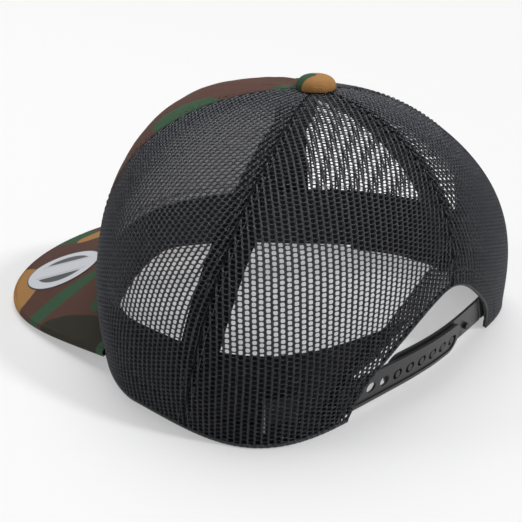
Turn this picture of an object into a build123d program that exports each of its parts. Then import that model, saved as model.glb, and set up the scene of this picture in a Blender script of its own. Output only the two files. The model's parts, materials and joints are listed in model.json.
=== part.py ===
"""A structured five-panel trucker cap: camouflage front and visor, mesh sides and back, snap strap.

The table is the plane Z = 0, the visor points to -Y, and the wearer's left is +X.
Crown angles are measured about the vertical axis from the visor's direction, positive to the
wearer's left, so 0 is the forehead, 90 the left ear and 180 the nape.
"""
import os
from math import cos, pi, radians, sin

from build123d import *

os.makedirs("parts", exist_ok=True)

# ---------------------------------------------------------------- driving dimensions, millimetres
# the crown
CROWN_HEIGHT = 106.5  # rim to the flat under the button
HALF_WIDTH = 100  # widest half, left to right
FRONT_REACH = 92  # forehead, from the widest line
BACK_REACH = 75  # nape, from the widest line
APEX_Y = 10  # the button's axis, behind the widest line
NAPE_BOW = 3  # how far the strap and the opening bow out behind the plan's curve
NAPE_BOW_ANGLE = 40  # the bow fades out this far either side of the nape
RIM_TUCK = 0.06  # share by which the rim is drawn in below the bulge
TUCK_HEIGHT = 71  # the draw-in ends at this height
FLAT_SHARE = 0.997  # height share where the crown goes flat for the button
FRONT_PROFILE = (4.8, 2.5)  # powers of height and reach: higher is boxier
SIDE_PROFILE = (2.3, 1.9)
BACK_PROFILE = (3.4, 1.7)
FRONT_PLAN = (1.55, 0.25)  # plan power at the rim, and its change towards the top
BACK_PLAN = (4.5, -2.8)

# layers of the crown, as insets from its outer surface
MESH = (0.0, 1.2)
FRONT_CLOTH = (0.0, 0.8)
LINING = (0.9, 1.8)
SEAM_TAPE = (1.9, 2.5)
FOREHEAD_PAD = (1.9, 3.2)
ARCH_TAPE = (2.6, 3.2)
SWEATBAND = (3.3, 4.7)

# seams run down from the button: (angle at the rim, angle at half height)
FRONT_SEAM = (52, 45.5)
SIDE_SEAM = (106.5, 109.5)
BACK_SEAM = (180, 180)
SEAM_GAP = 0.05
TAPE_WIDTH = 16
TAPE_START = 13  # tapes stop this far from the button's axis

# the opening at the back
ARCH_EDGE = ((50, 0), (45.5, 10), (36, 20), (24, 29), (11, 37), (0, 40))  # across, up
ARCH_TAPE_WIDTH = 8
BAND_CUTBACK = 17  # the sweatband ends this far outside the arch

BAND_BOTTOM = 1.0
BAND_TOP_FRONT = 33
BAND_TOP_BACK = 33.5
PAD_HALF_ANGLE = 30
PAD_TOP = 31

# the visor
VISOR_TIP_Y = -140
VISOR_TEMPLE_Y = -26.5  # where the visor's sides begin
VISOR_HALF_WIDTH = 87
VISOR_SIDE_POWER = 1.7
VISOR_TIP_POWER = 4.5
TEMPLE_RISE = (36.3, 5.5)  # underside at the temples: middle, sides
TIP_RISE = (2.9, -7.2)  # the same at the tip; the rounded corners just clear the table
VISOR_INSET = 3.2  # the visor's root ends here inside the crown
UNDER_COVER = (0.0, 0.7)  # heights above the visor's underside
VISOR_BOARD = (0.8, 2.6)
COVER_BASE = 2.7
VISOR_TOP = 3.4
VISOR_WRAP = 1.1  # width of the cover folded over the board's edge
VISOR_ROOM = 0.1

STICKER_RADIUS = 18
STICKER_CENTRE = (52.8, -97.8)
STICKER = (3.45, 3.7)

# the button
BUTTON_RADIUS = 8.0
BUTTON_HEIGHT = 5.6
BUTTON_SKIRT = 1.4
BUTTON_HOLLOW = (6.2, 2.9)  # radius and height
PRONG_RADIUS = 1.5
PRONG_HEAD = (6.0, 1.0)  # radius and thickness
PRONG_TIP = (2.6, 0.6)
PRONG_HOLE_RADIUS = 1.9
WASHER_RADIUS = 6.5
WASHER_THICKNESS = 0.8
WASHER_DEPTH = 2.8  # the washer's top below the crown's top
STACK_GAP = 0.1

# the snap strap
STRAP_BOTTOM = 3.5
STRAP_HEIGHT = 14
STRAP_WEB = (1.9, 2.9)  # insets of the outer half's thin middle
STRAP_BORDER = (1.4, 1.95)  # insets of its raised borders
TOP_BORDER = 4.6
LOW_BORDER = 1.6
TIP_BORDER = 2.2
OUTER_TAB = (1.4, 2.5)
INNER_STRAP = (3.5, 4.7)
INNER_RAISE = 1.2  # the inner half sits a little higher
OUTER_TIP_X = -18.8
INNER_TIP_X = 28
TIP_ROUNDING = 5.5
STUD_HEIGHT = 10.2
STUD_PITCH = 7.4
FIRST_HOLE_X = 38.2
HOLE_COUNT = 8
HOLE_RADIUS = 2.4
PEG_COUNT = 8  # the first peg sits in the third hole
PEG_RADIUS = 1.5
PEG_TOP_INSET = 1.8
PEG_LENGTH = 2.2
HINGE_LOW = (47.6, 3.5)  # across and up: the halves flex along this line, just inside the opening
HINGE_HIGH = (37.5, 17.5)
KNUCKLE_RADIUS = 0.6
KNUCKLE_GAP = 0.45
TAB_END_X = 56

LABEL_SIZE = (12, 14, 0.5)
LABEL_ANGLE = 127
LABEL_HEIGHT = 12
LABEL_INSET = 2.6

FAR = 300  # longer than anything here


# ---------------------------------------------------------------- the crown's surface
def remaining(share, powers):
    """How much of a reach is left at a share of the crown's height."""
    return (1 - share ** powers[0]) ** (1 / powers[1])


def crown_point(angle, share, inset=0.0):
    """A point of the crown's surface, moved inwards by the inset."""
    across, along = sin(radians(angle)), -cos(radians(angle))
    side = (HALF_WIDTH - inset) * remaining(share, SIDE_PROFILE)
    reach = (FRONT_REACH - inset) * remaining(share, FRONT_PROFILE)
    power = FRONT_PLAN[0] + FRONT_PLAN[1] * share**0.6
    if along > 0:
        reach = (BACK_REACH - inset) * remaining(share, BACK_PROFILE)
        power = BACK_PLAN[0] + BACK_PLAN[1] * share**0.6
    radius = (abs(across / side) ** power + abs(along / reach) ** power) ** (-1 / power)
    off_nape = min(1, abs(180 - angle % 360) / NAPE_BOW_ANGLE)
    radius += NAPE_BOW * cos(pi / 2 * off_nape) ** 2 * remaining(share, BACK_PROFILE)
    height = share * (CROWN_HEIGHT - inset)
    radius *= 1 - RIM_TUCK * max(0, 1 - height / TUCK_HEIGHT) ** 2
    return Vector(radius * across, radius * along + APEX_Y * share, height)


def crown_solid(inset):
    """The crown filled solid, with its surface moved inwards by the inset."""
    shares = [sin(radians(step)) for step in range(0, 80, 9)] + [0.985, FLAT_SHARE]
    with BuildPart() as solid:
        for share in shares:
            ring = [crown_point(angle, share, inset) for angle in range(0, 360, 12)]
            with BuildSketch(Plane.XY.offset(ring[0].Z)):
                with BuildLine():
                    Spline(*[(point.X, point.Y) for point in ring], periodic=True)
                make_face()
        loft()
    return solid.part


def crown_layer(insets):
    """A skin of the crown between two insets, open below, with the prong's hole at the top."""
    with BuildPart() as layer:
        add(crown_solid(insets[0]))
        add(crown_solid(insets[1]), mode=Mode.SUBTRACT)
        with Locations((0, APEX_Y, CROWN_HEIGHT)):
            Cylinder(PRONG_HOLE_RADIUS, 20, mode=Mode.SUBTRACT)
    return layer.part


def seam_plane(seam, shift=0.0):
    """The plane of a seam from the button to the rim, facing larger angles."""
    apex = Vector(0, APEX_Y, CROWN_HEIGHT)
    down = (crown_point(seam[0], 0) - apex).normalized()
    across = (crown_point(seam[1], 0.5) - apex).normalized()
    turn = Vector(cos(radians(seam[0])), sin(radians(seam[0])), 0)
    normal = down.cross(across)
    if normal.length < 0.01:
        normal = turn
    normal = normal.normalized() * (1 if normal.dot(turn) > 0 else -1)
    return Plane(origin=apex + normal * shift, x_dir=down, z_dir=normal)


def on_right(seam):
    """The same seam on the wearer's right."""
    return (-seam[0], -seam[1])


def back_point(across, height, inset):
    """The point of the crown's back at a distance left of the middle and a height."""
    low, high = 90, 270
    while high - low > 0.0001:
        middle = (low + high) / 2
        if crown_point(middle, height / (CROWN_HEIGHT - inset), inset).X > across:
            low = middle
        else:
            high = middle
    return crown_point(low, height / (CROWN_HEIGHT - inset), inset)


def arch_cut(margin):
    """The opening at the back, widened by the margin, as a long solid."""
    width, height = ARCH_EDGE[0][0], ARCH_EDGE[-1][1]
    left = [(across * (1 + margin / width), up * (1 + margin / height)) for across, up in ARCH_EDGE]
    right = [(-across, up) for across, up in reversed(left[:-1])]
    base = width + margin
    with BuildPart() as cut:
        with BuildSketch(Plane.XZ):
            with BuildLine():
                Spline(*left, *right)
                Polyline((-base, 0), (-base, -10), (base, -10), (base, 0))
            make_face()
        extrude(amount=-FAR)
    return cut.part


# ---------------------------------------------------------------- the visor's surface
def visor_section(y, low, high):
    """A curved band across the visor, between two heights above its underside."""
    share = (VISOR_TEMPLE_Y - y) / (VISOR_TEMPLE_Y - VISOR_TIP_Y)
    middle = TEMPLE_RISE[0] + (TIP_RISE[0] - TEMPLE_RISE[0]) * share
    side = TEMPLE_RISE[1] + (TIP_RISE[1] - TEMPLE_RISE[1]) * share
    edge = VISOR_HALF_WIDTH
    with BuildSketch(Plane.XZ.offset(-y)) as section:
        with BuildLine():
            ThreePointArc((-edge, side + low), (0, middle + low), (edge, side + low))
            Line((edge, side + low), (edge, side + high))
            ThreePointArc((edge, side + high), (0, middle + high), (-edge, side + high))
            Line((-edge, side + high), (-edge, side + low))
        make_face()
    return section.sketch


def visor_slab(low, high):
    """Everything between two heights above the visor's underside."""
    with BuildPart() as slab:
        add(visor_section(0, low, high))
        add(visor_section(VISOR_TIP_Y - 5, low, high))
        loft(ruled=True)
    return slab.part


def visor_outline(margin):
    """The visor's plan, widened by the margin, as a tall solid reaching back into the crown."""
    edge = VISOR_HALF_WIDTH + min(margin, 0)
    depth = VISOR_TEMPLE_Y - VISOR_TIP_Y + margin
    turns = [pi / 2 * step / 9 for step in range(8, 0, -1)]
    left = [
        (edge * sin(turn) ** (2 / VISOR_SIDE_POWER), VISOR_TEMPLE_Y - depth * cos(turn) ** (2 / VISOR_TIP_POWER))
        for turn in turns
    ]
    right = [(-across, along) for across, along in reversed(left)]
    with BuildPart() as outline:
        with BuildSketch(Plane.XY.offset(-FAR / 2)):
            with BuildLine():
                Spline((edge, VISOR_TEMPLE_Y), *left, (0, VISOR_TEMPLE_Y - depth), *right, (-edge, VISOR_TEMPLE_Y))
                Line((-edge, VISOR_TEMPLE_Y), (edge, VISOR_TEMPLE_Y))
            make_face()
        extrude(amount=FAR)
    return outline.part


def visor_sheet(heights, margin):
    """A sheet of the visor between two heights, ending inside the crown's lining."""
    with BuildPart() as sheet:
        add(visor_outline(margin))
        add(visor_slab(*heights), mode=Mode.INTERSECT)
        add(crown_solid(VISOR_INSET), mode=Mode.SUBTRACT)
    return sheet.part


def visor_room():
    """The space the visor takes from the crown's lower edge, from its top down past the table."""
    with BuildPart() as room:
        add(visor_outline(VISOR_ROOM))
        add(visor_slab(-FAR / 4, VISOR_TOP + VISOR_ROOM), mode=Mode.INTERSECT)
    return room.part


VISOR_CUT = visor_room()
ARCH_CUT = arch_cut(0)


# ---------------------------------------------------------------- crown panels
def panel(insets, first_seam, last_seam):
    """A gore of the crown between two seams, clear of the visor and the arch."""
    with BuildPart() as gore:
        add(crown_layer(insets))
        split(bisect_by=seam_plane(first_seam, SEAM_GAP), keep=Keep.TOP)
        split(bisect_by=seam_plane(last_seam, -SEAM_GAP), keep=Keep.BOTTOM)
        add(VISOR_CUT, mode=Mode.SUBTRACT)
        add(ARCH_CUT, mode=Mode.SUBTRACT)
    return gore.part


with BuildPart() as front_panel:
    add(panel(FRONT_CLOTH, on_right(FRONT_SEAM), FRONT_SEAM))

with BuildPart() as front_lining:
    add(panel(LINING, on_right(FRONT_SEAM), FRONT_SEAM))

with BuildPart() as side_panel_left:
    add(panel(MESH, FRONT_SEAM, SIDE_SEAM))

with BuildPart() as back_panel_left:
    add(panel(MESH, SIDE_SEAM, BACK_SEAM))

with BuildPart() as side_panel_right:
    mirror(side_panel_left.part, about=Plane.YZ)

with BuildPart() as back_panel_right:
    mirror(back_panel_left.part, about=Plane.YZ)


# ---------------------------------------------------------------- tapes and bands inside the crown
def seam_tape(seam):
    """The tape behind a seam, from near the button down to the rim."""
    outwards = Vector(sin(radians(seam[0])), -cos(radians(seam[0])), 0)
    with BuildPart() as tape:
        add(crown_layer(SEAM_TAPE))
        split(bisect_by=seam_plane(seam, TAPE_WIDTH / 2), keep=Keep.BOTTOM)
        split(bisect_by=seam_plane(seam, -TAPE_WIDTH / 2), keep=Keep.TOP)
        start = Vector(0, APEX_Y, 0) + outwards * TAPE_START
        split(bisect_by=Plane(origin=start, z_dir=outwards), keep=Keep.TOP)
        add(VISOR_CUT, mode=Mode.SUBTRACT)
        add(arch_cut(ARCH_TAPE_WIDTH), mode=Mode.SUBTRACT)
    return tape.part


with BuildPart() as seam_tape_front_left:
    add(seam_tape(FRONT_SEAM))

with BuildPart() as seam_tape_side_left:
    add(seam_tape(SIDE_SEAM))

with BuildPart() as seam_tape_back:
    add(seam_tape(BACK_SEAM))

with BuildPart() as seam_tape_front_right:
    mirror(seam_tape_front_left.part, about=Plane.YZ)

with BuildPart() as seam_tape_side_right:
    mirror(seam_tape_side_left.part, about=Plane.YZ)

with BuildPart() as arch_binding:
    add(crown_layer(ARCH_TAPE))
    add(arch_cut(ARCH_TAPE_WIDTH), mode=Mode.INTERSECT)
    add(ARCH_CUT, mode=Mode.SUBTRACT)

band_top = Plane(
    origin=(0, -FRONT_REACH, BAND_TOP_FRONT),
    x_dir=(1, 0, 0),
    z_dir=(0, BAND_TOP_FRONT - BAND_TOP_BACK, FRONT_REACH + BACK_REACH),
)
with BuildPart() as sweatband:
    add(crown_layer(SWEATBAND))
    split(bisect_by=band_top, keep=Keep.BOTTOM)
    split(bisect_by=Plane.XY.offset(BAND_BOTTOM), keep=Keep.TOP)
    add(VISOR_CUT, mode=Mode.SUBTRACT)
    add(arch_cut(BAND_CUTBACK), mode=Mode.SUBTRACT)

with BuildPart() as forehead_pad:
    add(crown_layer(FOREHEAD_PAD))
    split(bisect_by=Plane.XY.offset(PAD_TOP), keep=Keep.BOTTOM)
    split(bisect_by=seam_plane((-PAD_HALF_ANGLE, -PAD_HALF_ANGLE)), keep=Keep.TOP)
    split(bisect_by=seam_plane((PAD_HALF_ANGLE, PAD_HALF_ANGLE)), keep=Keep.BOTTOM)
    add(VISOR_CUT, mode=Mode.SUBTRACT)

label_middle = crown_point(LABEL_ANGLE, LABEL_HEIGHT / CROWN_HEIGHT, LABEL_INSET)
label_ahead = crown_point(LABEL_ANGLE + 1, LABEL_HEIGHT / CROWN_HEIGHT, LABEL_INSET) - label_middle
with BuildPart(Plane(origin=label_middle, x_dir=label_ahead, z_dir=label_ahead.cross(Vector(0, 0, 1)))) as size_label:
    Box(*LABEL_SIZE)


# ---------------------------------------------------------------- visor
with BuildPart() as visor_board:
    add(visor_sheet(VISOR_BOARD, -VISOR_WRAP))

with BuildPart() as visor_under_cover:
    add(visor_sheet(UNDER_COVER, -VISOR_WRAP))

with BuildPart() as visor_core:
    add(visor_outline(SEAM_GAP - VISOR_WRAP))
    add(visor_slab(-1, COVER_BASE), mode=Mode.INTERSECT)

with BuildPart() as visor_top_cover:
    add(visor_sheet((0, VISOR_TOP), 0))
    add(visor_core.part, mode=Mode.SUBTRACT)

with BuildPart() as visor_sticker:
    with Locations(STICKER_CENTRE):
        Cylinder(STICKER_RADIUS, FAR)
    add(visor_slab(*STICKER), mode=Mode.INTERSECT)


# ---------------------------------------------------------------- button
button_seat = Plane(origin=(0, APEX_Y, CROWN_HEIGHT * FLAT_SHARE + SEAM_GAP), z_dir=(0, 0, 1))
button_profile = Plane(origin=button_seat.origin, x_dir=(1, 0, 0), z_dir=(0, -1, 0))
with BuildPart() as button_cap:
    with BuildSketch(button_profile):
        with BuildLine():
            Polyline((0, BUTTON_HEIGHT), (0, 0), (BUTTON_RADIUS, 0), (BUTTON_RADIUS, BUTTON_SKIRT))
            Spline((BUTTON_RADIUS, BUTTON_SKIRT), (0, BUTTON_HEIGHT), tangents=[(0, 1), (-1, 0)])
        make_face()
    revolve(axis=Axis((0, APEX_Y, 0), (0, 0, 1)))
    with BuildSketch(button_seat):
        Circle(BUTTON_HOLLOW[0])
    extrude(amount=BUTTON_HOLLOW[1], mode=Mode.SUBTRACT)

with BuildPart() as button_prong:
    with BuildSketch(button_seat.offset(STACK_GAP)):
        Circle(PRONG_HEAD[0])
    extrude(amount=PRONG_HEAD[1])
    with BuildSketch(button_seat.offset(STACK_GAP)):
        Circle(PRONG_RADIUS)
    extrude(amount=-WASHER_DEPTH - WASHER_THICKNESS - STACK_GAP)
    with BuildSketch(button_seat.offset(-WASHER_DEPTH - WASHER_THICKNESS)):
        Circle(PRONG_TIP[0])
    extrude(amount=-PRONG_TIP[1])

with BuildPart() as button_washer:
    with BuildSketch(button_seat.offset(STACK_GAP / 2 - WASHER_DEPTH)):
        Circle(WASHER_RADIUS)
        Circle(PRONG_RADIUS + STACK_GAP, mode=Mode.SUBTRACT)
    extrude(amount=STACK_GAP / 2 - WASHER_THICKNESS)


# ---------------------------------------------------------------- snap strap
def strap_block(tip_x, end_x, bottom, top, rounding):
    """A strap's outline seen from behind, tip rounded, as a long solid."""
    with BuildPart() as block:
        with BuildSketch(Plane.XZ):
            with BuildLine():
                Polyline((tip_x, bottom), (end_x, bottom), (end_x, top), (tip_x, top), close=True)
            make_face()
            tip = vertices().sort_by(Axis.X)[:2] if tip_x < end_x else vertices().sort_by(Axis.X)[2:]
            fillet(tip, rounding)
        extrude(amount=-FAR)
    return block.part


def hinge_line(side, inset):
    """Both ends of the line where a strap half flexes."""
    low = back_point(side * HINGE_LOW[0], HINGE_LOW[1], inset)
    high = back_point(side * HINGE_HIGH[0], HINGE_HIGH[1], inset)
    return low, high


def hinge_plane(side, inset, shift=0.0):
    """The plane through a hinge line and square to the strap, facing away from the middle."""
    low, high = hinge_line(side, inset)
    upwards = (high - low).normalized()
    outwards = Vector(low.X, low.Y, 0).normalized()
    facing = outwards.cross(upwards) * side
    return Plane(origin=low + facing.normalized() * shift, x_dir=upwards, z_dir=facing)


def knuckle(side, inset, bottom, top):
    """The rounded end of a strap half, along its hinge line."""
    low, high = hinge_line(side, inset)
    upwards = (high - low).normalized()
    with BuildPart() as rod:
        with BuildSketch(Plane(origin=low - upwards * 10, z_dir=upwards)):
            Circle(KNUCKLE_RADIUS)
        extrude(amount=40)
        split(bisect_by=Plane.XY.offset(bottom), keep=Keep.TOP)
        split(bisect_by=Plane.XY.offset(top), keep=Keep.BOTTOM)
    return rod.part


outer_top = STRAP_BOTTOM + STRAP_HEIGHT
outer_middle = (STRAP_BORDER[0] + STRAP_WEB[1]) / 2
outer_outline = strap_block(OUTER_TIP_X, TAB_END_X, STRAP_BOTTOM, outer_top, TIP_ROUNDING)
outer_recess = strap_block(
    OUTER_TIP_X + TIP_BORDER,
    TAB_END_X,
    STRAP_BOTTOM + LOW_BORDER,
    outer_top - TOP_BORDER,
    TIP_ROUNDING - TIP_BORDER,
)
hole_positions = [FIRST_HOLE_X - STUD_PITCH * count for count in range(HOLE_COUNT)]
peg_positions = [FIRST_HOLE_X - STUD_PITCH * (count + 2) for count in range(PEG_COUNT)]

with BuildPart() as strap_outer_border:
    add(crown_layer(STRAP_BORDER))
    add(outer_outline, mode=Mode.INTERSECT)
    add(outer_recess, mode=Mode.SUBTRACT)

with BuildPart() as strap_outer:
    add(crown_layer(STRAP_WEB))
    add(outer_outline, mode=Mode.INTERSECT)
    add(strap_outer_border.part)
    split(bisect_by=hinge_plane(1, outer_middle), keep=Keep.BOTTOM)
    add(knuckle(1, outer_middle, STRAP_BOTTOM, outer_top))
    with BuildSketch(Plane.XZ):
        with Locations(*[(across, STUD_HEIGHT) for across in hole_positions]):
            Circle(HOLE_RADIUS)
    extrude(amount=-FAR, mode=Mode.SUBTRACT)

with BuildPart() as strap_tab_left:
    add(crown_layer(OUTER_TAB))
    add(outer_outline, mode=Mode.INTERSECT)
    split(bisect_by=hinge_plane(1, outer_middle, KNUCKLE_RADIUS + KNUCKLE_GAP), keep=Keep.TOP)

inner_bottom = STRAP_BOTTOM + INNER_RAISE
inner_middle = (INNER_STRAP[0] + INNER_STRAP[1]) / 2
inner_outline = strap_block(INNER_TIP_X, -TAB_END_X, inner_bottom, inner_bottom + STRAP_HEIGHT, TIP_ROUNDING)

with BuildPart() as strap_inner:
    add(crown_layer(INNER_STRAP))
    add(inner_outline, mode=Mode.INTERSECT)
    split(bisect_by=hinge_plane(-1, inner_middle), keep=Keep.BOTTOM)
    add(knuckle(-1, inner_middle, inner_bottom, inner_bottom + STRAP_HEIGHT))
    for across in peg_positions:
        peg_top = back_point(across, STUD_HEIGHT, PEG_TOP_INSET)
        with BuildSketch(Plane(origin=peg_top, x_dir=(1, 0, 0), z_dir=(0, -1, 0))):
            Circle(PEG_RADIUS)
        extrude(amount=PEG_LENGTH)

with BuildPart() as strap_tab_right:
    add(crown_layer(INNER_STRAP))
    add(inner_outline, mode=Mode.INTERSECT)
    split(bisect_by=hinge_plane(-1, inner_middle, KNUCKLE_RADIUS + KNUCKLE_GAP), keep=Keep.TOP)


# ---------------------------------------------------------------- labels and files
sub_parts = {
    "front_panel": front_panel,
    "front_lining": front_lining,
    "side_panel_left": side_panel_left,
    "side_panel_right": side_panel_right,
    "back_panel_left": back_panel_left,
    "back_panel_right": back_panel_right,
    "seam_tape_front_left": seam_tape_front_left,
    "seam_tape_front_right": seam_tape_front_right,
    "seam_tape_side_left": seam_tape_side_left,
    "seam_tape_side_right": seam_tape_side_right,
    "seam_tape_back": seam_tape_back,
    "arch_binding": arch_binding,
    "sweatband": sweatband,
    "forehead_pad": forehead_pad,
    "size_label": size_label,
    "visor_board": visor_board,
    "visor_under_cover": visor_under_cover,
    "visor_top_cover": visor_top_cover,
    "visor_sticker": visor_sticker,
    "button_cap": button_cap,
    "button_prong": button_prong,
    "button_washer": button_washer,
    "strap_outer": strap_outer,
    "strap_inner": strap_inner,
    "strap_tab_left": strap_tab_left,
    "strap_tab_right": strap_tab_right,
}
for node, piece in sub_parts.items():
    piece.part.label = node
    export_step(piece.part, f"parts/{node}.step")
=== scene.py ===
import json
import math

import bpy
import numpy as np
from mathutils import Matrix, Vector

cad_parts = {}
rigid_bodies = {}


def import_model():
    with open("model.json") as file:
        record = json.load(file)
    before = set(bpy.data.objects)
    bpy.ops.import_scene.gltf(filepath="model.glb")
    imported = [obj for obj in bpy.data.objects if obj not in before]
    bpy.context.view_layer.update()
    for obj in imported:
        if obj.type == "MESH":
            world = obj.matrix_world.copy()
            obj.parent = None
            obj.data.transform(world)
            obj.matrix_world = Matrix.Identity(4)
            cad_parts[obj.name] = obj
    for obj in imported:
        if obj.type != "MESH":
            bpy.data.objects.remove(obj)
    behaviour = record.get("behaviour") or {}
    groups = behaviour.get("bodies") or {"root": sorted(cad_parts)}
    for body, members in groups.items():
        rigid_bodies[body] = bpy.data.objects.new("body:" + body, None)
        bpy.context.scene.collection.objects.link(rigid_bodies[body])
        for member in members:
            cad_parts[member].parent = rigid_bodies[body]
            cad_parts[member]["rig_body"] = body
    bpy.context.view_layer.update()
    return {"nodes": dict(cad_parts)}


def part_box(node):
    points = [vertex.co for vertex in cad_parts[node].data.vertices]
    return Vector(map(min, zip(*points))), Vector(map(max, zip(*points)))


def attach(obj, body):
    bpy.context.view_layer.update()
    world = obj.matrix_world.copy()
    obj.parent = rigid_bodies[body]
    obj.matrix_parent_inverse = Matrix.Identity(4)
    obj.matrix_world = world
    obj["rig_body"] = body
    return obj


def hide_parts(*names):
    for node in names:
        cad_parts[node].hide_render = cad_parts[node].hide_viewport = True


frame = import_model()

# Everything below is worked out in millimetres, in the frame of the CAD model, and scaled on making.
MM = 0.001
rng = np.random.default_rng(7)

# ---------------------------------------------------------------- the crown's surface, as in part.py
CROWN_HEIGHT, HALF_WIDTH, FRONT_REACH, BACK_REACH, APEX_Y = 106.5, 100.0, 92.0, 75.0, 10.0
NAPE_BOW, NAPE_BOW_ANGLE, RIM_TUCK, TUCK_HEIGHT = 3.0, 40.0, 0.06, 71.0
FRONT_PROFILE, SIDE_PROFILE, BACK_PROFILE = (4.8, 2.5), (2.3, 1.9), (3.4, 1.7)
FRONT_PLAN, BACK_PLAN = (1.55, 0.25), (4.5, -2.8)
FRONT_SEAM, SIDE_SEAM, BACK_SEAM = (52.0, 45.5), (106.5, 109.5), (180.0, 180.0)
ARCH_EDGE = ((50, 0), (45.5, 10), (36, 20), (24, 29), (11, 37), (0, 40))
TEMPLE_Y, TIP_Y, VISOR_HALF_WIDTH = -26.5, -140.0, 87.0
VISOR_POWERS = (1.7, 4.5)
TEMPLE_RISE, TIP_RISE = (36.3, 5.5), (2.9, -7.2)
VISOR_THICKNESS = 3.4
BAND_TOP_FRONT, BAND_TOP_BACK = 33.0, 33.5
PRONG_HOLE = 4.0


def remaining(share, powers):
    return (1 - share ** powers[0]) ** (1 / powers[1])


def crown(angle, z, inset=0.0):
    """Points of the crown's surface at angles (degrees) and heights, moved inwards by the inset."""
    angle, z, inset = np.broadcast_arrays(*(np.asarray(v, float) for v in (angle, z, inset)))
    share = np.clip(z / (CROWN_HEIGHT - inset), 0, 0.9994)
    across, along = np.sin(np.radians(angle)), -np.cos(np.radians(angle))
    back = along > 0
    side = (HALF_WIDTH - inset) * remaining(share, SIDE_PROFILE)
    reach = np.where(
        back,
        (BACK_REACH - inset) * remaining(share, BACK_PROFILE),
        (FRONT_REACH - inset) * remaining(share, FRONT_PROFILE),
    )
    power = np.where(
        back, BACK_PLAN[0] + BACK_PLAN[1] * share**0.6, FRONT_PLAN[0] + FRONT_PLAN[1] * share**0.6
    )
    radius = (np.abs(across / side) ** power + np.abs(along / reach) ** power) ** (-1 / power)
    off = np.minimum(1, np.abs(180 - angle % 360) / NAPE_BOW_ANGLE)
    radius = radius + NAPE_BOW * np.cos(np.pi / 2 * off) ** 2 * remaining(share, BACK_PROFILE)
    radius = radius * (1 - RIM_TUCK * np.maximum(0, 1 - z / TUCK_HEIGHT) ** 2)
    return np.stack([radius * across, radius * along + APEX_Y * share, share * (CROWN_HEIGHT - inset)], -1)


def angle_of(points):
    share = points[..., 2] / CROWN_HEIGHT
    return np.degrees(np.arctan2(points[..., 0], -(points[..., 1] - APEX_Y * share)))


def solve_angle(value_at, low, high, steps=40):
    """Angles between low and high where value_at, falling through zero as it goes, is zero."""
    for _ in range(steps):
        middle = (low + high) / 2
        above = value_at(middle) > 0
        low, high = np.where(above, middle, low), np.where(above, high, middle)
    return (low + high) / 2


def seam_normal(seam):
    apex = np.array([0, APEX_Y, CROWN_HEIGHT])
    down = crown(seam[0], 0.0) - apex
    across = crown(seam[1], CROWN_HEIGHT / 2) - apex
    turn = np.array([math.cos(math.radians(seam[0])), math.sin(math.radians(seam[0])), 0])
    normal = np.cross(down, across)
    if np.linalg.norm(normal) < 1:
        normal = turn
    normal = normal / np.linalg.norm(normal)
    return normal if normal @ turn > 0 else -normal


def seam_angle(seam, z, shift=0.0, inset=0.0):
    """The angle where the plane of a seam, moved by the shift, meets the crown at heights z."""
    normal = seam_normal(seam)
    apex = np.array([0, APEX_Y, CROWN_HEIGHT])
    z = np.asarray(z, float)
    shift = np.broadcast_to(np.asarray(shift, float), z.shape)

    def value(angle):
        return shift - (crown(angle, z, inset) - apex) @ normal

    return solve_angle(value, np.full(z.shape, seam[0] - 60.0), np.full(z.shape, seam[0] + 60.0))


def x_angle(x, z, inset=0.0):
    """The angle, on the wearer's left of the back, where the crown is x left of the middle."""
    z = np.asarray(z, float)
    x = np.broadcast_to(np.asarray(x, float), z.shape)

    def value(angle):
        return crown(angle, z, inset)[..., 0] - x

    return solve_angle(value, np.full(z.shape, 92.0), np.full(z.shape, 180.0))


def natural_spline(points, count):
    """Points along a smooth curve through the given ones."""
    points = np.asarray(points, float)
    steps = np.linalg.norm(np.diff(points, axis=0), axis=1)
    knots = np.concatenate([[0], np.cumsum(steps)])
    n = len(points)
    system = np.eye(n)
    right = np.zeros_like(points)
    for i in range(1, n - 1):
        system[i, i - 1 : i + 2] = steps[i - 1], 2 * (steps[i - 1] + steps[i]), steps[i]
        right[i] = 6 * ((points[i + 1] - points[i]) / steps[i] - (points[i] - points[i - 1]) / steps[i - 1])
    bend = np.linalg.solve(system, right)
    t = np.linspace(0, knots[-1], count)
    i = np.clip(np.searchsorted(knots, t, side="right") - 1, 0, n - 2)
    h = steps[i][:, None]
    a, b = (knots[i + 1] - t)[:, None], (t - knots[i])[:, None]
    return (
        bend[i] * a**3 / (6 * h)
        + bend[i + 1] * b**3 / (6 * h)
        + (points[i] / h - bend[i] * h / 6) * a
        + (points[i + 1] / h - bend[i + 1] * h / 6) * b
    )


def arch_line(margin=0.0, count=241):
    """The opening's edge as (across, up) points from left to right, widened by the margin."""
    width, height = ARCH_EDGE[0][0], ARCH_EDGE[-1][1]
    left = [(x * (1 + margin / width), z * (1 + margin / height)) for x, z in ARCH_EDGE]
    return natural_spline(left + [(-x, z) for x, z in reversed(left[:-1])], count)


def visor_top(x, y, above=VISOR_THICKNESS):
    """Height of the visor's top at x, y, or of a surface another distance above its underside."""
    share = (TEMPLE_Y - y) / (TEMPLE_Y - TIP_Y)
    middle = TEMPLE_RISE[0] + (TIP_RISE[0] - TEMPLE_RISE[0]) * share
    side = TEMPLE_RISE[1] + (TIP_RISE[1] - TEMPLE_RISE[1]) * share
    arch = middle - side
    bend = (VISOR_HALF_WIDTH**2 + arch**2) / (2 * arch)
    return middle - bend + np.sqrt(np.maximum(bend**2 - np.asarray(x) ** 2, 1)) + above


# ---------------------------------------------------------------- making meshes
def put(name, data):
    """A new object in the scene."""
    made = bpy.data.objects.new(name, data)
    bpy.context.scene.collection.objects.link(made)
    return made


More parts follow.
